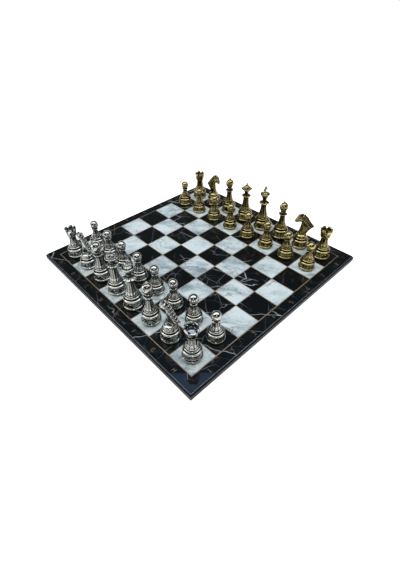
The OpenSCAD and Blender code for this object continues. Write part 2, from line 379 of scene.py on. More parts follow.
def net(field, low, cell):
    """Closed surface where a sampled field crosses zero, negative inside: one point per crossed cell."""
    inside = field < 0
    shape = np.array(field.shape) - 1
    total = np.zeros((*shape, 3))
    hits = np.zeros(shape)
    corners = [np.array(c) for c in np.ndindex(2, 2, 2)]
    for axis in range(3):
        for c in corners:
            if c[axis]:
                continue
            d = c.copy()
            d[axis] = 1
            one = field[c[0]:c[0] + shape[0], c[1]:c[1] + shape[1], c[2]:c[2] + shape[2]]
            two = field[d[0]:d[0] + shape[0], d[1]:d[1] + shape[1], d[2]:d[2] + shape[2]]
            crossed = (one < 0) != (two < 0)
            share = np.where(crossed, one / np.where(crossed, one - two, 1), 0)
            place = np.broadcast_to(c.astype(float), total.shape).copy()
            place[..., axis] += share
            total += place * crossed[..., None]
            hits += crossed
    used = hits > 0
    number = np.full(shape, -1)
    number[used] = np.arange(used.sum())
    cells = np.argwhere(used)
    points = (cells + total[used] / hits[used][:, None]) * cell + np.array(low)
    faces = []
    for axis in range(3):
        u, v = [(1, 2), (2, 0), (0, 1)][axis]
        one = inside.take(range(field.shape[axis] - 1), axis)
        two = inside.take(range(1, field.shape[axis]), axis)
        for flip, which in ((False, one & ~two), (True, ~one & two)):
            at = np.argwhere(which)
            at = at[(at[:, u] > 0) & (at[:, v] > 0) & (at[:, u] < shape[u]) & (at[:, v] < shape[v])]
            back_u, back_v = np.eye(3, dtype=int)[u], np.eye(3, dtype=int)[v]
            quad = [at, at - back_u, at - back_u - back_v, at - back_v]
            numbers = np.stack([number[tuple(q.T)] for q in quad], -1)
            faces += (numbers[:, ::-1] if flip else numbers).tolist()
    return points, faces


def joined(*shapes):
    """Several closed shapes as one list of points and faces."""
    points, faces, start = [], [], 0
    for p, f in shapes:
        points.append(p)
        faces += [[i + start for i in face] for face in f]
        start += len(p)
    return np.vstack(points), faces


def moved(shape, offset):
    return shape[0] + np.array(offset), shape[1]


# ---------------------------------------------------------------- outlines and relief of the men

# base radius, height and height of the foot of each kind of man
SIZES = {
    "pawn": (12.6, 45.5, 17.0),
    "rook": (13.3, 51.0, 19.0),
    "knight": (13.4, 60.5, 19.0),
    "bishop": (13.5, 67.0, 20.0),
    "queen": (14.1, 71.0, 20.0),
    "king": (14.7, 78.0, 20.5),
}
ROOT = 0.64


def foot_rows(radius, height):
    """Lip with an undercut, drum, thick ring, groove and thin ring, as every man's foot has."""
    lip = [
        (0, 0), (0.90, 0), (0.925, 0.15), (0.96, 0.9), (0.99, 1.5), (1.0, 2.0), (0.995, 2.5),
        (0.975, 3.0), (0.945, 3.25), (0.915, 3.4), (0.90, 3.7), (0.893, 4.5), (0.885, 5.6),
    ]
    rings = [
        (0.872, 0.38), (0.862, 0.47), (0.852, 0.53), (0.835, 0.55), (0.845, 0.565), (0.875, 0.58),
        (0.905, 0.61), (0.905, 0.67), (0.88, 0.71), (0.83, 0.733), (0.77, 0.748), (0.73, 0.765),
        (0.715, 0.79), (0.715, 0.84), (0.73, 0.86), (0.76, 0.875), (0.765, 0.92), (0.735, 0.945),
        (0.69, 0.955), (0.66, 0.965),
    ]
    return [(a * radius, b) for a, b in lip] + [(a * radius, b * height) for a, b in rings]


def shaft_rows(low_radius, top_radius, low, top, count=9, curve=2.0):
    return [
        (top_radius + (low_radius - top_radius) * (1 - t) ** curve, low + (top - low) * t)
        for t in (i / count for i in range(count + 1))
    ]


def ball_rows(radius, centre, start=-60, stop=90, count=16):
    angles = np.radians(np.linspace(start, stop, count))
    return [(radius * math.cos(a), centre + radius * math.sin(a)) for a in angles]


def in_band(z, low, high, soft):
    return ease((z - low) / soft) * ease((high - z) / soft)


def foot_relief(theta, z, height):
    """Row of sunk dashes above the lip, and a lattice with bosses round the drum."""
    dash = 1 - (across(theta, 20) / 0.66) ** 2 - ((z - 4.45) / 0.75) ** 2
    low, high = 5.5, 0.545 * height
    u = across(theta, 14)
    v = 2 * (z - low) / (high - low) - 1
    lattice = np.exp(-(((np.abs(u) + np.abs(v) - 0.9) / 0.15) ** 2))
    boss = ease((1 - (u / 0.42) ** 2 - (v / 0.5) ** 2) * 1.5)
    on = in_band(z, low, high, 0.7)
    return -0.85 * ease(dash * 2) + on * (0.12 * boss - 0.15 * lattice)


def leaves(theta, z, low, high, count, rise=0.55, shift=0.0):
    """Ring of upright leaves with a midrib and a sunk outline."""
    u = np.abs(across(theta, count, shift))
    v = (z - low) / (high - low)
    half = 0.98 * np.sqrt(np.clip(1 - np.clip(v, 0, 1) ** 1.8, 0, 1))
    edge = half - u
    on = in_band(z, low, high + 1.5, 0.5)
    leaf = ease(edge / 0.22) * (0.75 + 0.25 * np.cos(u * math.pi / 2))
    outline = np.exp(-((edge + 0.03) / 0.09) ** 2)
    midrib = np.exp(-((u / 0.10) ** 2)) * ease((0.85 - v) / 0.3)
    return on * (rise * leaf - 0.42 * outline - 0.2 * midrib)


def scrolls(theta, z, centre, size, count, shift=0.0):
    """Ring of small curled scrolls, each a round groove about a raised eye."""
    u = across(theta, count, shift)
    v = (z - centre) / size
    away = np.hypot(u / 0.8, v)
    turn = np.arctan2(v, u)
    curl = np.cos(math.tau * 1.2 * away + turn)
    return 0.22 * curl * ease((1.0 - away) / 0.25)


def flutes(theta, z, low, high, count, depth, radius, shift=0.0):
    """Hollow channels between ridges, fading at both ends."""
    u = np.abs(across(theta, count, shift))
    hollow = np.cos(u * math.pi / 2) ** 0.7
    return -depth * hollow * in_band(z, low, high, 1.4) * np.clip(radius / 6.0, 0.5, 1.1)


def beading(theta, z, centre, count, size, rise):
    """Row of small round beads at one height."""
    u = across(theta, count)
    v = (z - centre) / size
    return rise * ease((1 - (u / 0.8) ** 2 - v**2) * 1.4)


def common_relief(theta, radius, z, foot_height, leaf_top, shaft_top, count, curls=0.0):
    """Foot band, low leaves and scrolls at the shaft's root, and flutes all the way up."""
    d = foot_relief(theta, z, foot_height)
    d = d + leaves(theta, z, foot_height, leaf_top, count, 0.20)
    d = d + curls * scrolls(theta, z, foot_height + 2.8, 2.2, count, 0.5)
    return d + flutes(theta, z, foot_height + 1.0, shaft_top, count, 0.42, radius, 0.5)


def pawn_shape():
    radius, height, foot = SIZES["pawn"]
    head = 6.8
    centre = height - head
    rows = foot_rows(radius, foot) + shaft_rows(radius * ROOT, 3.8, foot, 30.4, 7, 1.5) + [
        (4.3, 30.7), (5.1, 30.9), (5.4, 31.3), (5.1, 31.7), (4.2, 32.0), (3.7, 32.4), (4.2, 33.1),
        (5.2, 34.3), (6.1, 35.9), (6.65, 37.6),
    ] + ball_rows(head, centre, -6, 90, 12)

    def relief(theta, r, z):
        return common_relief(theta, r, z, foot, 24.5, 30.4, 8, 0.8)

    return turned(rows, relief, ring=144)


def rook_shape():
    radius, height, foot = SIZES["rook"]
    low, gap = 36.6, 3.5
    wall = height - gap
    rows = foot_rows(radius, foot) + shaft_rows(radius * ROOT, 5.7, foot, low - 0.6) + [
        (5.7, low - 0.1), (6.6, low + 0.2), (7.3, low + 0.7), (7.7, low + 1.6), (8.0, low + 4.0),
        (8.3, low + 6.3), (8.8, low + 8.6), (9.1, wall), (9.2, wall, 0, gap * 0.5),
        (9.2, wall, 0, gap * 0.9), (8.9, wall, 0, gap), (7.3, wall, 0, gap),
        (7.1, wall, 0, gap * 0.9), (7.0, wall, 0, gap * 0.5), (6.9, wall - 0.2), (6.5, wall - 0.6),
        (5.4, wall - 0.5), (3.8, wall - 0.1), (1.9, wall + 0.2), (0, wall + 0.3),
    ]

    def merlons(theta):
        return ease((0.70 - np.abs(across(theta, 6, 0.5))) / 0.07)

    def relief(theta, r, z):
        d = common_relief(theta, r, z, foot, 26.0, low - 0.6, 8, 1.0)
        outside = (r > 7.4) & (z > low + 2.0)
        u = across(theta, 6) * math.pi / 6 * 8.7
        slit = ease((1.25 - np.abs(u)) / 0.4) * in_band(z, low + 6.4, wall - 0.6, 0.7)
        return d - outside * 1.9 * slit

    return turned(rows, relief, merlons, ring=192, step=0.40)


def petal_rows(neck, size, height, top_neck, rise=0.28):
    """Collar of petals: flared underside, rounded rim, and a top that falls outwards from the neck."""
    inner = size * 0.72
    reach = size - inner
    top = size * rise
    return [
        (neck, height - size * 0.42), (neck + 0.7, height - size * 0.30),
        (inner * 0.86, height - size * 0.16, reach * 0.5), (inner, height - 0.5, reach * 0.95, 0.1),
        (inner + 0.2, height + 0.05, reach, 0.2),
        (inner + 0.1, height + top * 0.22, reach * 0.92, 0.1),
        (inner - 0.4, height + top * 0.48, reach * 0.6),
        (inner - 0.9, height + top * 0.78, reach * 0.2), (top_neck + 0.5, height + top * 0.95),
        (top_neck, height + top * 1.08),
    ]


def rounded_petals(count, shift=0.0):
    return lambda theta: np.sqrt(np.clip(1 - np.abs(across(theta, count, shift)) ** 2.2, 0, 1))


def bishop_shape():
    radius, height, foot = SIZES["bishop"]
    collar, centre = 43.2, 56.0
    rows = foot_rows(radius, foot) + shaft_rows(radius * ROOT, 4.4, foot, collar - 3.4) + petal_rows(
        4.4, 7.3, collar, 4.0, 0.22
    ) + [
        (3.7, collar + 2.0), (3.6, collar + 3.0), (4.3, collar + 3.4), (4.6, collar + 3.9),
        (4.0, collar + 4.4), (3.5, collar + 4.9), (4.1, collar + 5.7),
        (5.3, centre - 5.6), (6.5, centre - 3.4), (7.05, centre - 1.1), (7.1, centre + 0.8),
        (6.7, centre + 2.8), (5.7, centre + 4.8), (4.2, centre + 6.4), (2.4, centre + 7.4),
        (1.2, centre + 7.8), (1.0, centre + 8.1), (1.5, centre + 8.4), (1.6, centre + 8.7),
        (1.0, centre + 8.95),
    ] + ball_rows(1.45, height - 1.45, -40, 90, 8)

    def relief(theta, r, z):
        d = common_relief(theta, r, z, foot, 26.0, collar - 3.3, 10)
        x = r * np.cos(theta)
        lean = math.radians(48)
        off = (z - centre - 0.8) * math.cos(lean) - x * math.sin(lean)
        along = (z - centre - 0.8) * math.sin(lean) + x * math.cos(lean)
        reach = ease((along - 0.6) / 0.8) * (z > centre - 7)
        slot = ease((0.95 - np.abs(off + 0.9)) / 0.4)
        rim = np.exp(-(((np.abs(off + 0.9) - 1.3) / 0.35) ** 2))
        return d - reach * (2.8 * slot - 0.15 * rim)

    return turned(rows, relief, rounded_petals(10), ring=192, step=0.40)


def queen_shape():
    radius, height, foot = SIZES["queen"]
    collar, rim = 46.8, 59.8
    rows = foot_rows(radius, foot) + shaft_rows(radius * ROOT, 5.0, foot, collar - 3.6) + petal_rows(
        4.9, 8.3, collar, 4.5
    ) + [
        (3.9, collar + 3.0), (3.5, collar + 5.0), (3.7, collar + 6.6), (4.3, collar + 8.2),
        (5.4, rim - 3.0), (7.0, rim - 1.4, 0.3), (8.0, rim - 0.6, 0.8, 0.1),
        (8.5, rim - 0.1, 0.9, 0.3), (8.4, rim + 0.3, 0.8, 0.5), (7.8, rim + 0.5, 0.3, 0.4),
        (7.1, rim + 0.4),
        (6.8, rim + 0.8), (6.6, rim + 1.6), (6.0, rim + 3.0), (4.8, rim + 4.6), (3.2, rim + 5.9),
        (1.9, rim + 6.7), (1.1, rim + 7.3), (1.0, rim + 7.7), (1.5, rim + 8.0), (1.6, rim + 8.3),
        (1.0, rim + 8.5),
    ] + ball_rows(1.45, height - 1.45, -40, 90, 8)

    def relief(theta, r, z):
        d = common_relief(theta, r, z, foot, 27.0, collar - 3.5, 11)
        d = d + flutes(theta, z, collar + 2.5, rim - 1.6, 8, 0.5, r)
        return d + leaves(theta, z, rim + 0.7, rim + 5.5, 8, 0.30, 0.5)

    return turned(rows, relief, rounded_petals(8), ring=192, step=0.40)


def cross_shape(bottom, top):
    """Cross with flared arms and rounded faces."""
    arm, waist, flare = 3.9, 1.15, 1.9
    middle = top - 4.6
    outline = [
        (-1.8, bottom), (1.8, bottom), (waist, bottom + 2.2), (waist, middle - waist),
        (arm, middle - flare), (arm, middle + flare), (waist, middle + waist), (flare, top),
        (-flare, top), (-waist, middle + waist), (-arm, middle + flare), (-arm, middle - flare),
        (-waist, middle - waist), (-waist, bottom + 2.2),
    ]
    cell = 0.25
    low = (-2.1, -4.7, bottom - 0.8)
    high = (2.2, 4.8, top + 0.8)
    x, y, z = np.meshgrid(*[np.arange(a, b, cell) for a, b in zip(low, high)], indexing="ij")
    depth = outline_distance(outline, y[0], z[0])
    round_off = 0.8
    side = (round_off - np.minimum(depth, round_off)) / round_off
    return net(np.hypot(side[None], np.abs(x) / 1.6) - 1, low, cell)


def king_shape():
    radius, height, foot = SIZES["king"]
    collar, rim = 48.4, 66.0
    rows = foot_rows(radius, foot) + shaft_rows(radius * ROOT, 4.9, foot, collar - 3.8) + petal_rows(
        4.8, 8.9, collar, 4.6
    ) + [
        (4.0, collar + 3.2), (3.6, collar + 5.4), (3.8, collar + 7.4), (4.6, collar + 9.2),
        (5.6, rim - 5.4), (6.9, rim - 3.8), (7.4, rim - 3.1), (7.1, rim - 2.7), (7.6, rim - 2.3),
        (8.1, rim - 1.6), (8.1, rim - 0.8), (7.7, rim - 0.3), (6.9, rim - 0.2), (6.4, rim - 0.6),
        (5.9, rim - 0.6), (5.0, rim + 0.4), (3.5, rim + 1.4), (2.1, rim + 2.0), (1.6, rim + 2.3),
        (2.0, rim + 2.6), (2.0, rim + 3.0), (1.3, rim + 3.4), (0, rim + 3.5),
    ]

    def relief(theta, r, z):
        d = common_relief(theta, r, z, foot, 27.5, collar - 3.7, 11)
        d = d + flutes(theta, z, collar + 2.6, rim - 4.2, 8, 0.5, r)
        d = d + leaves(theta, z, rim - 0.2, rim + 2.4, 8, 0.35, 0.5) * (r < 5.5)
        return d + beading(theta, z, rim - 3.1, 24, 0.5, 0.25) * (r > 6.0)

    body = turned(rows, relief, rounded_petals(8), ring=192, step=0.40)
    return joined(body, cross_shape(rim + 2.4, height))


def knight_shape():
    radius, height, foot = SIZES["knight"]
    rows = foot_rows(radius, foot) + [
        (8.9, foot), (8.9, foot + 0.4), (8.3, foot + 1.2), (8.5, foot + 1.8), (8.3, foot + 2.6),
        (7.4, foot + 3.5), (6.2, foot + 4.2), (4.6, foot + 4.8), (0, foot + 5.0),
    ]

    def relief(theta, r, z):
        return foot_relief(theta, z, foot) + 0.15 * leaves(theta, z, foot * 0.99, foot + 4.2, 12)

    return joined(turned(rows, relief, ring=160), moved(horse_shape(height - foot), (0, 0, foot)))


def path_place(path, x, z):
    """Nearest distance to a path, and how far along it that is."""
    best = np.full(x.shape, 1e9)
    along = np.zeros(x.shape)
    run = 0.0
    for (ax, az), (bx, bz) in zip(path[:-1], path[1:]):
        dx, dz = bx - ax, bz - az
        length = math.hypot(dx, dz)
        t = np.clip(((x - ax) * dx + (z - az) * dz) / length**2, 0, 1)
        away = np.hypot(x - ax - t * dx, z - az - t * dz)
        closer = away < best
        best = np.where(closer, away, best)
        along = np.where(closer, run + t * length, along)
        run += length
    return best, along


def spot(x, z, cx, cz, rx, rz):
    """Smooth round bump, 1 at its middle."""
    return ease(1 - ((x - cx) / rx) ** 2 - ((z - cz) / rz) ** 2)


# line of the knight's mane in its own side view, from the forehead down to the withers
CREST = [
    (4.6, 39.6), (1.0, 38.4), (-2.6, 35.0), (-6.0, 30.6), (-9.6, 25.6), (-13.0, 21.2), (-15.8, 17.8),
]


def horse_shape(rise):
    """Horse's head and neck facing +X, as one closed surface."""
    outline = chaikin([
        (-5.8, -2), (6.6, -2), (8.2, 1.6), (7.8, 5.0), (5.6, 10.5), (4.3, 16.5), (3.6, 22.0),
        (3.4, 25.4), (5.2, 27.2), (8.6, 26.6), (11.6, 25.6), (13.6, 26.2), (14.8, 28.4),
        (14.5, 31.0), (12.8, 34.4), (11.0, 38.0), (8.6, 40.6), (5.2, 41.2), (1.6, 40.2),
        (-2.2, 37.4), (-6.2, 32.6), (-9.8, 27.4), (-13.4, 22.6), (-17.6, 18.2), (-16.4, 15.0),
        (-12.6, 13.0), (-9.6, 9.4), (-7.6, 5.0), (-6.2, 1),
    ], 2, closed=True)
    crest = chaikin(CREST, 2)
    cell = 0.38
    low = (-19.2, -7.6, -2.6)
    high = (16.4, 7.6, rise + 1.0)
    x, y, z = np.meshgrid(
        *[np.arange(a, b, cell) for a, b in zip(low, high)], indexing="ij", sparse=True
    )
    fx, fz = np.broadcast_arrays(x[:, 0, :], z[:, 0, :])
    depth = outline_distance(outline, fx, fz)
    away, along = path_place(crest, fx, fz)
    # half thickness: full at the chest, slim at the neck, wider at the cheek, slim at the muzzle
    thick = 2.9 + 2.6 * ease((7 - fz) / 8) - 0.8 * ease((fx - 9.5) / 4)
    thick = thick + 0.8 * spot(fx, fz, 6.6, 31.2, 4.0, 4.4)
    thick = thick - 0.6 * ease((-fx - 9) / 6)
    # a sunk line and a row of short locks beside the plaited mane
    below = (fx < 4.5) & (fz > 9.5)
    locks = ease((6.4 - away) / 1.6) * ease((away - 3.2) / 0.6) * ease(along / 3) * below
    thick = thick + locks * 0.22 * np.cos(math.tau * (along / 4.4 + 0.12 * away))
    thick = thick - 1.1 * np.exp(-(((away - 3.0) / 0.7) ** 2)) * below
    # eye with its brow, cheek line, nostril and mouth
    thick = thick + 0.7 * spot(fx, fz, 9.2, 35.2, 1.3, 1.1) - 0.6 * (
        spot(fx, fz, 9.2, 35.2, 2.4, 2.1) - spot(fx, fz, 9.2, 35.2, 1.6, 1.4)
    ) + 0.7 * spot(fx, fz, 8.6, 37.4, 2.6, 0.9)
    thick = thick - 1.2 * spot(fx, fz, 13.2, 30.4, 0.9, 0.8) + 0.4 * spot(fx, fz, 13.0, 31.4, 1.6, 1.2)
    mouth, _ = path_place([(14.8, 27.9), (12.2, 28.3), (10.0, 29.2)], fx, fz)
    jaw, _ = path_place([(3.8, 27.0), (6.0, 28.2), (8.8, 29.6), (9.6, 32.4)], fx, fz)
    strap, _ = path_place([(7.6, 40.4), (5.6, 35.0), (4.0, 26.6)], fx, fz)
    chest, _ = path_place([(5.6, 4.0), (2.4, 9.0), (1.0, 15.0), (1.4, 22.0)], fx, fz)
    creases = ((mouth, 0.55, 1.0), (jaw, 0.9, 0.6), (strap, 0.7, -0.45), (chest, 0.8, 0.6))
    for line, width, dip in creases:
        thick = thick - dip * ease((width - line) / width)
    round_off = np.clip(thick * 0.9, 1.8, 3.6) + 1.4 * ease((6.0 - away) / 4)
    side = (round_off - np.minimum(depth, round_off)) / round_off
    body = (np.hypot(side[:, None, :], np.abs(y) / thick[:, None, :]) - 1) * 2.6
    # one plaited ridge runs down the crest, its locks meeting in chevrons
    lock = np.cos(math.tau * (along[:, None, :] / 4.2 - np.abs(y) / 4.0))
    ridge = np.hypot(away[:, None, :], y) - 1.85 - 0.30 * lock
    body = np.minimum(body, ridge * 0.9)
    parting = 0.32 - np.hypot(np.maximum(1.0 - away, 0)[:, None, :] * 0.2, y)
    on_top = (away < 3.2) & (depth < 2.0)
    body = np.where(on_top[:, None, :], np.maximum(body, parting), body)
    # small ears laid close to the head
    for s in (-1, 1):
        ear_x = 3.4 - 0.35 * (z - 38)
        width = np.clip(1.35 * (rise + 0.2 - z) / 4.2, -0.5, 1.35)
        ear = np.maximum(np.hypot((x - ear_x) / 1.3, y - s * 2.5) - width, 36.8 - z)
        hollow = np.hypot(x - ear_x - 1.4, y - s * 2.5) - 0.8 * np.clip(width, 0, 1.35)
        body = np.minimum(body, np.maximum(ear, -hollow))
    body = np.maximum(body, low[2] + 2 * cell - z)
    return net(body, low, cell)


# ---------------------------------------------------------------- meshes


# wear of a place that stands neither above nor below its surroundings
FLAT_WEAR = 0.42


def wear_of(mesh, gain, times=10):
    """Wear, 0 in hollows to 1 on high places: how far each point stands off its surroundings."""
    count = len(mesh.vertices)
    co = np.empty(count * 3, np.float32)
    mesh.vertices.foreach_get("co", co)
    co = co.reshape(-1, 3).astype(float)
    normal = np.empty(count * 3, np.float32)
    mesh.vertices.foreach_get("normal", normal)
    normal = normal.reshape(-1, 3)
    edge = np.empty(len(mesh.edges) * 2, np.int32)
    mesh.edges.foreach_get("vertices", edge)
    a, b = edge.reshape(-1, 2).T
    near = np.bincount(a, minlength=count) + np.bincount(b, minlength=count)
    smooth = co.copy()
    for _ in range(times):
        total = np.stack([
            np.bincount(a, smooth[b, k], count) + np.bincount(b, smooth[a, k], count) for k in range(3)
        ], 1)
        smooth = 0.4 * smooth + 0.6 * total / np.maximum(near, 1)[:, None]
    return np.clip(FLAT_WEAR + gain * ((co - smooth) * normal).sum(1) / MM, 0, 1)


def polish_horse(mesh, foot):
    """Rubs the horse's neck and head brighter, and leaves its plaited mane dark."""
    count = len(mesh.vertices)
    co = np.empty(count * 3, np.float32)
    mesh.vertices.foreach_get("co", co)
    x, _, z = co.reshape(-1, 3).T.astype(float) / MM
    away = path_place(chaikin(CREST, 2), x, z - foot)[0]
    worn = np.empty(count, np.float32)
    values = mesh.attributes["wear"].data
    values.foreach_get("value", worn)
    worn += (z > foot + 6.0) * (0.10 - 0.34 * ease((6.0 - away) / 1.0))
    values.foreach_set("value", np.clip(worn, 0, 1).astype(np.float32))


def make_mesh(name, shape, material, worn=0.0):
    points, faces = shape
    mesh = bpy.data.meshes.new(name)
    mesh.from_pydata((points * MM).tolist(), [], faces)
    mesh.update()
    mesh.polygons.foreach_set("use_smooth", [True] * len(mesh.polygons))
    if worn:
        values = wear_of(mesh, worn).astype(np.float32)
        mesh.attributes.new("wear", "FLOAT", "POINT").data.foreach_set("value", values)
    mesh.materials.append(material)
    return mesh


def place(name, mesh, body, slot, x=0.0, y=0.0, z=0.0, turn=0.0, stands_for=()):
    piece = bpy.data.objects.new(name, mesh)
    bpy.context.scene.collection.objects.link(piece)
    spin = Matrix.Rotation(math.radians(turn), 4, "Z")
    piece.matrix_world = Matrix.Translation((x * MM, y * MM, z * MM)) @ spin
    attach(piece, body)
    if stands_for:
        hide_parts(*stands_for)
    return piece


def felt_shape(radius, seed):
    """Felt disc with a soft, slightly furry rim."""
    rng = np.random.default_rng(seed)
    wobble = rng.normal(0, 0.035, 96)
    rows = [
        (0, 0), (radius - 0.5, 0), (radius - 0.1, 0.08), (radius, 0.35), (radius, 0.7),
        (radius - 0.15, 0.95), (radius - 0.5, 1.0), (0, 1.0),
    ]

    def relief(theta, r, z):
        return wobble[None, :] * ease((r - radius + 1) / 1)

    return turned(rows, relief, ring=96, step=0.6)


# ---------------------------------------------------------------- the men on their squares

SHAPES = {
    "rook": rook_shape, "knight": knight_shape, "bishop": bishop_shape, "queen": queen_shape,
    "king": king_shape, "pawn": pawn_shape,
}
BACK_RANK = ["rook", "knight", "bishop", "queen", "king", "bishop", "knight", "rook"]
TURNS = {
    "silver_knight_b1": 188, "silver_knight_g1": 188, "gold_knight_b8": 0, "gold_knight_g8": 225,
    "silver_bishop_c1": 225, "silver_bishop_f1": 225, "gold_bishop_c8": 225, "gold_bishop_f8": 225,
}
FELT_MARGIN = 1.2
FELT_THICKNESS = 1.0
WEAR_GAIN, KNIGHT_WEAR_GAIN = 3.0, 3.8

built = {kind: make() for kind, make in SHAPES.items()}
castings = {}
for tone in ("silver", "gold"):
    for kind, shape in built.items():
        gain = KNIGHT_WEAR_GAIN if kind == "knight" else WEAR_GAIN
        casting_name = f"{tone}_{kind}_casting"
        castings[tone, kind] = make_mesh(casting_name, shape, looks[f"antique_{tone}"], gain)
    polish_horse(castings[tone, "knight"], SIZES["knight"][2])
felts = {
    kind: make_mesh(f"{kind}_felt_disc", felt_shape(radius - FELT_MARGIN, 7), looks["felt"])
    for kind, (radius, _, _) in SIZES.items()
}


def set_man(tone, kind, file, rank):
    man = f"{tone}_{kind}_{FILES[file]}{rank}"
    x, y = (file - 3.5) * SQUARE, (rank - 4.5) * SQUARE
    turn = TURNS.get(man, 0)
    place(
        f"{man}_casting", castings[tone, kind], f"{man}_man", f"antique_{tone}",
        x, y, CASTING_REST, turn, [man],
    )
    felt_nodes = [] if kind == "pawn" else [f"{man}_felt"]
    felt_rest = CASTING_REST - FELT_THICKNESS
    place(f"{man}_felt_disc", felts[kind], f"{man}_man", "felt", x, y, felt_rest, 0, felt_nodes)


for tone, home, front in (("silver", 1, 2), ("gold", 8, 7)):
    for file in range(8):
        set_man(tone, BACK_RANK[file], file, home)
        set_man(tone, "pawn", file, front)

# ---------------------------------------------------------------- board


def dress(node, slot):
    """A CAD node whose shape is right gets a finished material."""
    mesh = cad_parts[node].data
    mesh.materials.clear()
    mesh.materials.append(looks[slot])


for node, slot in (
    ("marble_sheet", "dark_marble"), ("light_squares", "light_marble"), ("gold_lines", "gold_line"),
    ("base_sheet", "backing"), ("foot_pads", "foot_rubber"),
):
    dress(node, slot)


def edge_frame():
    """The board's core: mitred sides with rounded arrises that catch the light."""
    low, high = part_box("board_core")
    half, bottom, top = high.x / MM, low.z / MM, high.z / MM
    undercut, bevel, lift = 0.8, 1.7, 1.275
    side = [
        (half - undercut, bottom), (half - 0.05, bottom + undercut - 0.05),
        (half, bottom + undercut + 0.25), (half, top - lift - 0.25), (half - 0.08, top - lift),
        (half - 0.3, top - lift + 0.16), (half - bevel, top),
    ]
    points, faces = [], []
    for reach, z in side:
        points += [(-reach, -reach, z), (reach, -reach, z), (reach, reach, z), (-reach, reach, z)]
    for i in range(len(side) - 1):
        for k in range(4):
            a, b = i * 4 + k, i * 4 + (k + 1) % 4
            faces.append([a, b, b + 4, a + 4])
    faces.append([3, 2, 1, 0])
    last = (len(side) - 1) * 4
    faces.append([last, last + 1, last + 2, last + 3])
    return np.array(points, float), faces


core = make_mesh("board_core_edge", edge_frame(), looks["black_edge"])
core.polygons.foreach_set("use_smooth", [False] * len(core.polygons))
place("board_core_edge", core, "board", "black_edge", stands_for=["board_core"])


def sheet_arris():
    """Rim round the top sheet, a rounded bead that stands a hair above the lacquer, in a lighter grey
    that paints a highlight along the edge.
    """
    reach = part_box("marble_sheet")[1].x / MM
    section = [
        (0.0, -0.86), (0.04, -0.3), (-0.02, -0.1), (-0.14, 0.02), (-0.34, 0.05), (-0.5, 0.02),
        (-0.56, -0.1), (-0.5, -0.86),
    ]
    corners = ((-1, -1), (1, -1), (1, 1), (-1, 1))
    points = []
    for out, up in section:
        points += [(sx * (reach + out), sy * (reach + out), BOARD_TOP + up) for sx, sy in corners]
    faces = []
    for i in range(len(section)):
        for k in range(4):
            a, b = i * 4 + k, i * 4 + (k + 1) % 4
            above = 4 * ((i + 1) % len(section)) - 4 * i
            faces.append([a, b, b + above, a + above])
    return np.array(points, float), faces


arris = make_mesh("top_sheet_arris", sheet_arris(), looks["arris"])
place("top_sheet_arris", arris, "board", "black_edge")

# strokes of the border letters and figures, in a cell one wide and two tall
GLYPHS = {
    "a": [[(0, 0), (0, 1.5), (0.5, 2), (1, 1.5), (1, 0)], [(0, 0.9), (1, 0.9)]],
    "b": [
        [(0, 0), (0, 2), (0.8, 2), (1, 1.75), (1, 1.25), (0.8, 1), (0, 1)],
        [(0.8, 1), (1, 0.75), (1, 0.25), (0.8, 0), (0, 0)],
    ],
    "c": [[(1, 1.6), (0.7, 2), (0.3, 2), (0, 1.6), (0, 0.4), (0.3, 0), (0.7, 0), (1, 0.4)]],
    "d": [[(0, 0), (0, 2), (0.6, 2), (1, 1.5), (1, 0.5), (0.6, 0), (0, 0)]],
    "e": [[(1, 2), (0, 2), (0, 0), (1, 0)], [(0, 1), (0.8, 1)]],
    "f": [[(1, 2), (0, 2), (0, 0)], [(0, 1), (0.8, 1)]],
    "g": [[
        (1, 1.6), (0.7, 2), (0.3, 2), (0, 1.6), (0, 0.4), (0.3, 0), (0.7, 0), (1, 0.4), (1, 0.9),
        (0.6, 0.9),
    ]],
    "h": [[(0, 0), (0, 2)], [(1, 0), (1, 2)], [(0, 1), (1, 1)]],
    "1": [[(0.2, 1.6), (0.55, 2), (0.55, 0)], [(0.2, 0), (0.9, 0)]],
    "2": [[(0, 1.6), (0.3, 2), (0.7, 2), (1, 1.6), (1, 1.2), (0, 0), (1, 0)]],
    "3": [[(0, 2), (1, 2), (0.5, 1.2), (0.8, 1.1), (1, 0.8), (1, 0.4), (0.7, 0), (0.3, 0), (0, 0.3)]],
    "4": [[(0.75, 0), (0.75, 2), (0, 0.6), (1, 0.6)]],
    "5": [[(1, 2), (0.1, 2), (0, 1.1), (0.6, 1.2), (1, 0.9), (1, 0.4), (0.7, 0), (0.3, 0), (0, 0.3)]],
    "6": [[
        (0.9, 1.8), (0.6, 2), (0.3, 2), (0, 1.5), (0, 0.4), (0.3, 0), (0.7, 0), (1, 0.4), (1, 0.8),
        (0.7, 1.1), (0.3, 1.1), (0, 0.8),
    ]],
    "7": [[(0, 2), (1, 2), (0.4, 0)]],
    "8": [[
        (0.3, 1.05), (0, 1.35), (0, 1.7), (0.3, 2), (0.7, 2), (1, 1.7), (1, 1.35), (0.7, 1.05),
        (0.3, 1.05), (0, 0.75), (0, 0.35), (0.3, 0), (0.7, 0), (1, 0.35), (1, 0.75), (0.7, 1.05),
    ]],
}
GLYPH_TALL = 5.6


def glyph_shape(strokes):
    """One letter or figure as a thin raised line, centred on the origin."""
    size = GLYPH_TALL / 2
    cell = 0.14
    low = (-size * 0.62 - 0.5, -size - 0.5, -2 * cell)
    x, y, z = np.meshgrid(*[np.arange(a, -a + cell, cell) for a in low], indexing="ij", sparse=True)
    fx, fy = np.broadcast_arrays(x[:, :, 0], y[:, :, 0])
    near = np.full(fx.shape, 1e9)
    for stroke in strokes:
        line = [((px - 0.5) * size * 1.1, (py - 1) * size) for px, py in stroke]
        near = np.minimum(near, path_place(line, fx, fy)[0])
    points, faces = net(np.maximum(near[:, :, None] - 0.21, np.abs(z) - cell * 0.9), low, cell)
    points[:, 2] *= 0.3
    return points, faces


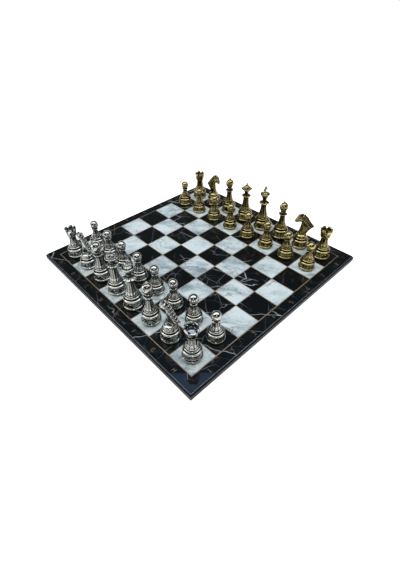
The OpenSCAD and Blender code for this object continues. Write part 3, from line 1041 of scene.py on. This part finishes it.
def border_glyphs():
    """Letters along two sides and figures along the other two, one at each square."""
    shapes = {key: glyph_shape(strokes) for key, strokes in GLYPHS.items()}
    middle = 4 * SQUARE + BORDER / 2
    placed = []
    for i in range(8):
        at = (i - 3.5) * SQUARE
        for key, x, y, turn in (
            (FILES[i], at, -middle, 0), (FILES[i], at, middle, 180),
            (str(i + 1), middle, at, 90), (str(i + 1), -middle, at, 270),
        ):
            points, faces = shapes[key]
            c, s = math.cos(math.radians(turn)), math.sin(math.radians(turn))
            spun = points @ np.array([[c, s, 0], [-s, c, 0], [0, 0, 1]])
            placed.append((spun + np.array([x, y, BOARD_TOP + 0.01]), faces))
    return joined(*placed)


characters = make_mesh("border_characters", border_glyphs(), looks["gold_line"])
place("border_characters", characters, "board", "gold_line")

# ---------------------------------------------------------------- stage, light and camera


def paper_look(name, colour, glow):
    """Plain pale paper, lit a little from within so that it stays even to the horizon."""
    look = Look(name)
    look.shade(Base_Color=colour, Roughness=0.9, Emission_Color=(1.0, 1.0, 1.0), Emission_Strength=glow)
    return look.material


floor_mesh = bpy.data.meshes.new("floor")
FLOOR_HALF = 12.0
floor_corners = [(x * FLOOR_HALF, y * FLOOR_HALF, 0) for x, y in ((-1, -1), (1, -1), (1, 1), (-1, 1))]
floor_mesh.from_pydata(floor_corners, [], [[0, 1, 2, 3]])
floor_mesh.materials.append(paper_look("floor_paper", (0.80, 0.80, 0.80), 0.93))
floor = bpy.data.objects.new("floor", floor_mesh)
bpy.context.scene.collection.objects.link(floor)

world = bpy.data.worlds.new("studio")
bpy.context.scene.world = world
world.use_nodes = True
sky = world.node_tree
direction = sky.nodes.new("ShaderNodeTexCoord").outputs["Generated"]
split = sky.nodes.new("ShaderNodeSeparateXYZ")
sky.links.new(direction, split.inputs[0])
shade = sky.nodes.new("ShaderNodeValToRGB")
sky.links.new(split.outputs["Z"], shade.inputs[0])
# bright at the horizon like a paper sweep, dim above it like a studio
SKY = [(0.0, 1.0), (0.12, 0.72), (0.22, 0.34), (0.31, 0.12), (0.40, 0.04), (0.80, 0.03), (1.0, 0.05)]
while len(shade.color_ramp.elements) < len(SKY):
    shade.color_ramp.elements.new(0.5)
for element, (at, grey) in zip(shade.color_ramp.elements, SKY):
    element.position, element.color = at, (grey, grey, grey, 1.0)
# the plain backdrop itself stays as pale as the floor, above the horizon too
seen = sky.nodes.new("ShaderNodeMix")
seen.data_type = "RGBA"
sky.links.new(sky.nodes.new("ShaderNodeLightPath").outputs["Is Camera Ray"], seen.inputs["Factor"])
sky.links.new(shade.outputs[0], seen.inputs[6])
seen.inputs[7].default_value = (1.0, 1.0, 1.0, 1.0)
sky.links.new(seen.outputs[2], sky.nodes["Background"].inputs["Color"])
sky.nodes["Background"].inputs["Strength"].default_value = 1.0


def soft_box(name, azimuth, elevation, distance, size, power, colour=(1, 1, 1)):
    """A rectangular light round the board, aimed at its middle."""
    data = bpy.data.lights.new(name, "AREA")
    data.shape = "RECTANGLE"
    data.size, data.size_y = size
    data.energy = power
    data.color = colour
    lamp = bpy.data.objects.new(name, data)
    bpy.context.scene.collection.objects.link(lamp)
    a, e = math.radians(azimuth), math.radians(elevation)
    outward = Vector((math.sin(a) * math.cos(e), -math.cos(a) * math.cos(e), math.sin(e)))
    lamp.location = outward * distance
    lamp.rotation_mode = "QUATERNION"
    lamp.rotation_quaternion = (-lamp.location).to_track_quat("-Z", "Y")
    return lamp


soft_box("key_box", 48, 89, 1.36, (2.9, 0.98), 23.5)
soft_box("back_panel", 228, 40, 2.3, (2.6, 1.4), 0.9, (0.86, 0.93, 1.0))
soft_box("front_lamp", 48, 43, 1.6, (0.26, 0.26), 1.6)
soft_box("far_box", 228, 70.8, 1.39, (1.5, 0.34), 3.6, (0.30, 0.54, 1.0))
soft_box("left_box", 318, 32, 1.6, (0.35, 1.0), 2.5)

bpy.context.scene.view_settings.view_transform = "Standard"

camera_data = bpy.data.cameras.new("camera")
camera = bpy.data.objects.new("camera", camera_data)
bpy.context.scene.collection.objects.link(camera)
# where the camera stands, in squares across, in squares towards rank 8 and in squares above the board
STAND = (8.48, -7.84, 8.90)
AZIMUTH, ELEVATION, ROLL = math.radians(47.8), math.radians(39.2), math.radians(-1.32)
forward = Vector((
    -math.sin(AZIMUTH) * math.cos(ELEVATION),
    math.cos(AZIMUTH) * math.cos(ELEVATION),
    -math.sin(ELEVATION),
))
level = forward.cross(Vector((0, 0, 1))).normalized()
upright = level.cross(forward)
right = level * math.cos(ROLL) + upright * math.sin(ROLL)
up = upright * math.cos(ROLL) - level * math.sin(ROLL)
camera.matrix_world = Matrix((
    (right.x, up.x, -forward.x, STAND[0] * SQUARE * MM),
    (right.y, up.y, -forward.y, STAND[1] * SQUARE * MM),
    (right.z, up.z, -forward.z, (STAND[2] * SQUARE + BOARD_TOP) * MM),
    (0, 0, 0, 1),
))
camera_data.sensor_width = 36.0
camera_data.lens = 22.58526
camera_data.shift_x, camera_data.shift_y = 0.009298, -0.035088
camera_data.clip_start, camera_data.clip_end = 0.01, 60.0
bpy.context.scene.camera = camera
